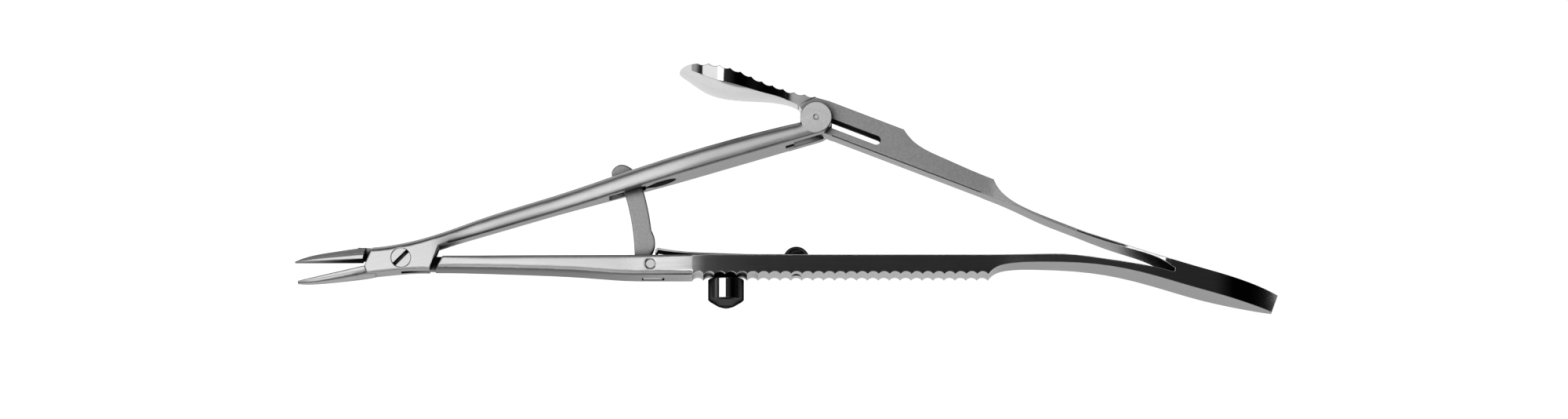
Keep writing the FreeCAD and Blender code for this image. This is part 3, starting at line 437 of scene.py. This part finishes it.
class DressArms(bpy.types.Operator):
    """Give both arms and the pins in them their brushed steel"""
    bl_idname = "needle_holder.dress_arms"
    bl_label = "Arms"

    def execute(self, context):
        look = context.scene.needle_steel
        # Tones of the handle's sides along its length: darker than the steel as painted shade, darkest
        # towards the joint, with the steel's own pale colour on the serrations; matt carries the painted
        # shade of the tail's sides
        teeth = look.pale[0]
        matt = look.side[0]
        side_tones_and_shade = [(0.0, 0.26), (SATIN_END, 0.28), (0.040, matt), (SERRATIONS[0], teeth),
                      (SERRATIONS[1], teeth), (TAIL[0], matt), (TAIL[1], matt)]
        side_rough = [(0.025, 0.6), (0.040, 0.25)]
        edges = [(NECK[0], NECK_EDGE), (NECK[1], LOWER_EDGE), (SATIN_END, LOWER_EDGE),
                 (POLISH_START, look.edge)]
        shine = [(SATIN_END, look.satin_rough), (POLISH_START, look.bright_rough)]
        handle = steel("handle_steel", look.satin, shine, edges, brush=0.25,
                       side=(FLATS, side_tones_and_shade, side_rough))
        low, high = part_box("lever_pin")
        knuckle = ((low[0] + high[0]) / 2, (low[1] + high[1]) / 2, 0.0)
        arm_edges = [(UPPER_NECK[0], NECK_EDGE), (UPPER_NECK[1], UPPER_EDGE)]
        # The arm's sides take the darker side colour as painted shade
        arm = steel("arm_steel", look.satin, look.satin_rough, arm_edges, brush=0.4, turn=-SHANK_RISE,
                    side=(UPPER_FLATS, look.side, 0.28), ring=(knuckle, KNUCKLE_RADIUS),
                    slot=(knuckle[0] - FORK_SLOT_LENGTH, FORK_SLOT_HALF))
        pin = steel("pin_steel", look.satin, look.satin_rough, PIN_EDGE, speckle=0.2)
        dress(NODES["handle_arm"], handle)
        dress(NODES["jaw_arm"], arm)
        for name in ("tongue_pin", "lever_pin", "blade_pin", "joint_screw"):
            dress(NODES[name], pin)
        return {"FINISHED"}


class DressCatch(bpy.types.Operator):
    """Give the tongue, the blade and the release spring their finishes"""
    bl_idname = "needle_holder.dress_catch"
    bl_label = "Catch"

    def execute(self, context):
        look = context.scene.needle_steel
        matt = steel("tongue_steel", look.blasted, look.blasted_rough, TONGUE_EDGE, speckle=0.5)
        # The blade is painted near black as painted shade, for it sits in the shadowed slot
        dark = steel("blade_steel", look.dark, 0.45, look.edge, speckle=0.8, grazing=0.15)
        spring = steel("spring_steel", look.satin, look.satin_rough, look.edge, brush=0.3)
        dress(NODES["catch_tongue"], matt)
        dress(NODES["catch_blade"], dark)
        dress(NODES["release_spring"], spring)
        return {"FINISHED"}


class DressButton(bpy.types.Operator):
    """Give the button and the domed screw their polish"""
    bl_idname = "needle_holder.dress_button"
    bl_label = "Button and screw"

    def execute(self, context):
        look = context.scene.needle_steel
        # The button's sides, away from its flats, are painted near black as painted shade
        button = steel("button_steel", look.bright, look.bright_rough, look.edge, brush=0.1, clouds=0.05,
                       side=(FLATS, look.dark, 0.25), grazing=0.25)
        dome = steel("dome_steel", look.dark, look.bright_rough, look.edge, brush=0.1, clouds=0.05,
                     grazing=0.3)
        dress(NODES["release_button"], button)
        dress(NODES["spring_screw"], dome)
        return {"FINISHED"}


class MakeLever(bpy.types.Operator):
    """Make the thumb lever with the leaf that bends between it and the handle"""
    bl_idname = "needle_holder.make_lever"
    bl_label = "Lever and leaf"

    def execute(self, context):
        look = context.scene.needle_steel
        leaf = context.scene.needle_leaf
        mesh = sliced_lever(leaf)
        smooth_spoon(mesh)
        piece = bpy.data.objects.new("lever_with_leaf", mesh)
        context.scene.collection.objects.link(piece)
        mesh.materials.append(spoon_steel(look))
        mesh.materials.append(lever_steel(look))
        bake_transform(piece)
        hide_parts("thumb_lever")
        return {"FINISHED"}


def sliced_lever(leaf):
    """A merged copy of the lever, cut across where its leaf bends and run a little into its root."""
    work = bmesh.new()
    work.from_mesh(NODES["thumb_lever"].data)
    bmesh.ops.remove_doubles(work, verts=work.verts, dist=MERGE_REACH)
    for number in range(leaf.slices):
        x = LEAF_BEND.x - leaf.bend_length * number / leaf.slices
        parts = work.verts[:] + work.edges[:] + work.faces[:]
        bmesh.ops.bisect_plane(work, geom=parts, plane_co=(x, 0, 0), plane_no=(1, 0, 0))
    fall = Vector((1, -math.tan(LEAF_FALL), 0)).normalized()
    for vertex in work.verts:
        if vertex.co.x > LEAF_BEND.x + 0.01 * MM:
            vertex.co += fall * leaf.overlap
    mesh = bpy.data.meshes.new("lever_with_leaf")
    work.to_mesh(mesh)
    work.free()
    return mesh


def smooth_spoon(mesh):
    """Shade the spoon smooth and the rest flat, in two materials. The normals that came with the mesh
    no longer fit it once it is merged."""
    if "custom_normal" in mesh.attributes:
        mesh.attributes.remove(mesh.attributes["custom_normal"])
    spoon_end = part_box("lever_pin")[0][0]
    for face in mesh.polygons:
        in_spoon = face.center.x < spoon_end
        face.use_smooth = in_spoon
        face.material_index = 0 if in_spoon else 1
    mesh.set_sharp_from_angle(angle=SPOON_CREASE)


def spoon_steel(look):
    """Polish inside the rim of the spoon and on its serrations, and a pale satin underside."""
    shine = [(SPOON_SHINE_END, look.bright_rough), (PLATE_START, look.blasted_rough)]
    return steel("spoon_steel", look.satin, shine, look.edge, speckle=0.1,
                 side=(SPOON_FLATS, look.pale, 0.3), grazing=0.9)


def lever_steel(look):
    """A blasted plate with polished bevels, and a leaf with the finish of the handle's sides; the bevels
    and sides take the darker side colour as painted shade.
    """
    return steel("lever_steel", look.blasted, look.blasted_rough, look.edge, speckle=0.5, clouds=0.2,
                 side=(FLATS, look.side, 0.2))


class MakeStage(bpy.types.Operator):
    """Lay the table, hang the lights and place the camera"""
    bl_idname = "needle_holder.make_stage"
    bl_label = "Stage"

    def execute(self, context):
        stage = context.scene.needle_stage
        make_table(stage, CAD_BOX[0][2] - TABLE_GAP)
        make_world(context.scene)
        make_lights()
        place_camera(context.scene, stage)
        return {"FINISHED"}


def make_table(stage, height):
    """A pale table that stays white to the camera outside the instrument's shadow."""
    work = bmesh.new()
    bmesh.ops.create_grid(work, x_segments=1, y_segments=1, size=TABLE_HALF)
    bmesh.ops.translate(work, verts=work.verts, vec=(TABLE_MIDDLE, 0, height))
    mesh = bpy.data.meshes.new("table")
    work.to_mesh(mesh)
    work.free()
    table = bpy.data.objects.new("table", mesh)
    bpy.context.scene.collection.objects.link(table)
    material, tree = new_material("pale_table")
    base = add(tree, "ShaderNodeBsdfDiffuse")
    base.inputs["Color"].default_value = (*stage.table, 1)
    glow = add(tree, "ShaderNodeEmission")
    glow.inputs["Color"].default_value = (1, 1, 1, 1)
    path = add(tree, "ShaderNodeLightPath").outputs
    seen = maths(tree, "MAXIMUM", path["Is Camera Ray"], path["Is Glossy Ray"])
    seen = maths(tree, "MAXIMUM", seen, path["Is Transmission Ray"])
    tree.links.new(maths(tree, "MULTIPLY", seen, stage.glow), glow.inputs["Strength"])
    both = add(tree, "ShaderNodeAddShader")
    tree.links.new(base.outputs[0], both.inputs[0])
    tree.links.new(glow.outputs[0], both.inputs[1])
    output = add(tree, "ShaderNodeOutputMaterial")
    tree.links.new(both.outputs[0], output.inputs["Surface"])
    dress(table, material)


def sky_part(tree, place, direction, start, end, low, high):
    """A soft step of light across the sky along one direction."""
    along = add(tree, "ShaderNodeVectorMath", operation="DOT_PRODUCT")
    tree.links.new(place.outputs["Generated"], along.inputs[0])
    along.inputs[1].default_value = direction
    return ramp(tree, along.outputs["Value"], start, end, low, high)


def make_world(scene):
    """A dim room with a light band above the horizon, darker in front and beyond the tail, and a
    window high in front."""
    world = bpy.data.worlds.new("studio")
    scene.world = world
    world.use_nodes = True
    tree = world.node_tree
    tree.nodes.clear()
    place = add(tree, "ShaderNodeTexCoord")
    band = sky_part(tree, place, (0.0, 0.0, 1.0), 0.2, 0.6, 0.5, 0.03)
    front = sky_part(tree, place, (0.0, -1.0, 0.0), 0.5, 0.85, 1.0, 0.05)
    beyond = sky_part(tree, place, (1.0, 0.0, 0.0), 0.25, 0.6, 1.0, 0.03)
    background = add(tree, "ShaderNodeBackground")
    background.inputs["Color"].default_value = (1, 1, 1, 1)
    window_way = (0.0, -math.sin(WINDOW_TILT), math.cos(WINDOW_TILT))
    wide, narrow = (math.cos(angle) for angle in WINDOW_EDGES)
    window = sky_part(tree, place, window_way, wide, narrow, 0.0, 0.55)
    room = maths(tree, "MULTIPLY", maths(tree, "MULTIPLY", band, front), beyond)
    strength = maths(tree, "MAXIMUM", room, window)
    tree.links.new(strength, background.inputs["Strength"])
    output = add(tree, "ShaderNodeOutputWorld")
    tree.links.new(background.outputs[0], output.inputs["Surface"])


def hang_card(name, left, right, front, back, brightness, height=CARD_HEIGHT, tilt=0.0):
    """A soft white card that faces down or, tilted, to the back. Its sides are in metres and its
    brightness is a radiance."""
    light = bpy.data.lights.new(name, "AREA")
    light.shape = "RECTANGLE"
    light.size = right - left
    light.size_y = back - front
    light.energy = brightness * math.pi * light.size * light.size_y
    lamp = bpy.data.objects.new(name, light)
    bpy.context.scene.collection.objects.link(lamp)
    lamp.location = ((left + right) / 2, (front + back) / 2, height)
    lamp.rotation_euler = (tilt, 0.0, 0.0)


def make_lights():
    """Cards that the jaws, both shanks and the lever reflect. The polished handle reflects the dark
    beside them."""
    hang_card("jaw_card", left=-0.198, right=0.035, front=-0.055, back=0.052, brightness=1.75)
    hang_card("back_card", left=-0.198, right=0.0405, front=0.052, back=0.092, brightness=1.3)
    hang_card("shank_card", left=0.0405, right=0.09, front=0.057, back=0.1, brightness=2.2)
    hang_card("front_card", left=-0.06, right=-0.001, front=-0.26, back=-0.14, brightness=1.6,
              height=FRONT_CARD_HEIGHT, tilt=FRONT_CARD_TILT)


def place_camera(scene, stage):
    """A long lens at the photograph's angle, framed to the photograph's width."""
    width = PHOTO_WIDTH / PHOTO_MILLIMETRE * MM
    camera = bpy.data.cameras.new("camera")
    camera.sensor_width = 36.0
    camera.lens = camera.sensor_width * stage.distance / width
    camera.clip_start = 0.05
    camera.clip_end = 20.0
    view = bpy.data.objects.new("camera", camera)
    scene.collection.objects.link(view)
    aim = Vector((PHOTO_CENTRE[0], PHOTO_CENTRE[1], MIDDLE_Z))
    back = Vector((0.0, -math.cos(stage.elevation), math.sin(stage.elevation)))
    view.location = aim + back * stage.distance
    view.rotation_euler = (math.pi / 2 - stage.elevation, 0.0, 0.0)
    scene.camera = view
    scene.view_settings.view_transform = "Standard"


class NeedlePanel(bpy.types.Panel):
    """Lists the pieces of the needle holder"""
    bl_idname = "VIEW3D_PT_needle_holder"
    bl_label = "Needle holder"
    bl_space_type = "VIEW_3D"
    bl_region_type = "UI"
    bl_category = "Needle holder"

    def draw(self, context):
        for operator in OPERATORS:
            self.layout.operator(operator.bl_idname)


OPERATORS = (DressArms, DressCatch, DressButton, MakeLever, MakeStage)
SETTINGS = {"needle_steel": SteelSettings, "needle_leaf": LeafSettings, "needle_stage": StageSettings}
CLASSES = (*SETTINGS.values(), *OPERATORS, NeedlePanel)


def register():
    for item in CLASSES:
        bpy.utils.register_class(item)
    for name, settings in SETTINGS.items():
        setattr(bpy.types.Scene, name, bpy.props.PointerProperty(type=settings))


def unregister():
    for name in SETTINGS:
        delattr(bpy.types.Scene, name)
    for item in reversed(CLASSES):
        bpy.utils.unregister_class(item)


def main():
    register()
    bpy.ops.needle_holder.dress_arms()
    bpy.ops.needle_holder.dress_catch()
    bpy.ops.needle_holder.dress_button()
    bpy.ops.needle_holder.make_lever()
    bpy.ops.needle_holder.make_stage()


if __name__ == "__main__":
    main()
